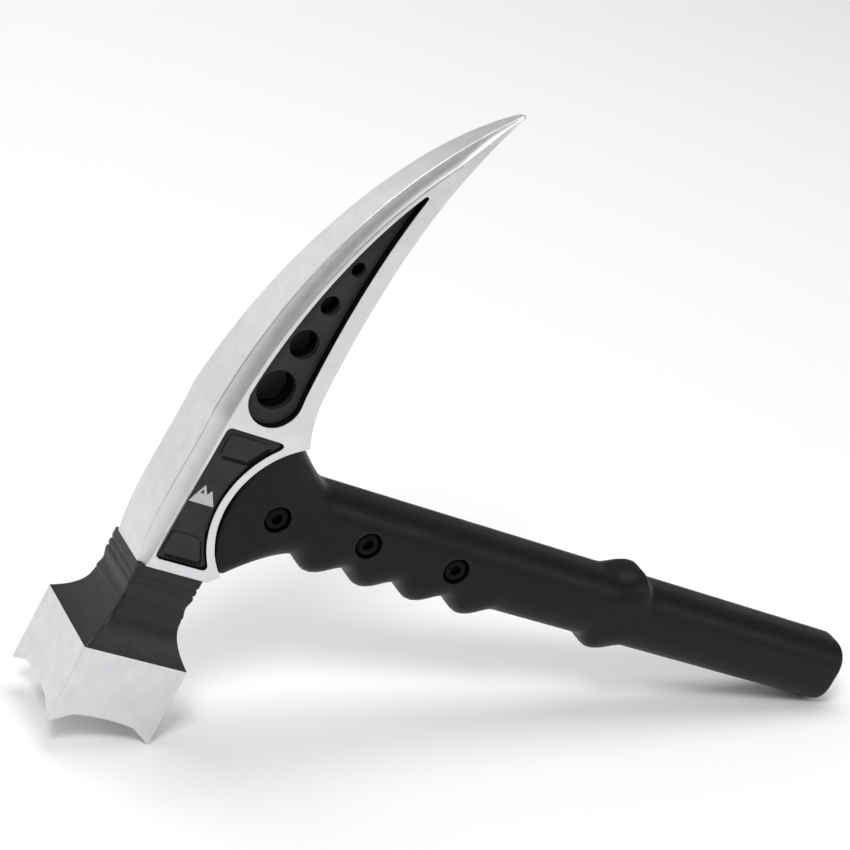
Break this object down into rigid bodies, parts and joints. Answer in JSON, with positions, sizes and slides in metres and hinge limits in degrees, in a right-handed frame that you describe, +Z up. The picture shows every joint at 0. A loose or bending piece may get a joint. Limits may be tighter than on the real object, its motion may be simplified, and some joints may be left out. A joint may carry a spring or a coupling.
{
  "type": "spiked ice hammer",
  "caption": "Hand ice axe and hammer with a curved bevelled pick, a four-pronged square poll on a ringed neck, and a grooved moulded handle.",
  "frame": {"origin": "centre of the bounding box on the floor, with the tool standing on two poll prongs and the butt's lower edge", "axes": "+Z up, +X from the poll towards the butt, and the middle plane of the head and handle is Y = 0; the shown side faces -Y"},
  "size_m": [0.293, 0.0364, 0.2077],
  "materials": {
    "head_steel": "satin cast stainless steel, neck coated satin black",
    "inlay": "fine moulded grain",
    "badge": "printed light grey",
    "handle_nylon": "glass-filled nylon, fine moulded grain",
    "bolt_steel": "black oxide"
  },
  "bodies": {
    "root": {"head_casting": "head_steel", "pick_inlay_left": "inlay", "pick_inlay_right": "inlay", "body_inlay_left": "inlay", "body_inlay_right": "inlay", "badge": "badge", "handle": "handle_nylon", "bolt_1": "bolt_steel", "bolt_2": "bolt_steel", "bolt_3": "bolt_steel", "sleeve_nut_1": "bolt_steel", "sleeve_nut_2": "bolt_steel", "sleeve_nut_3": "bolt_steel"}
  },
  "joints": []
}
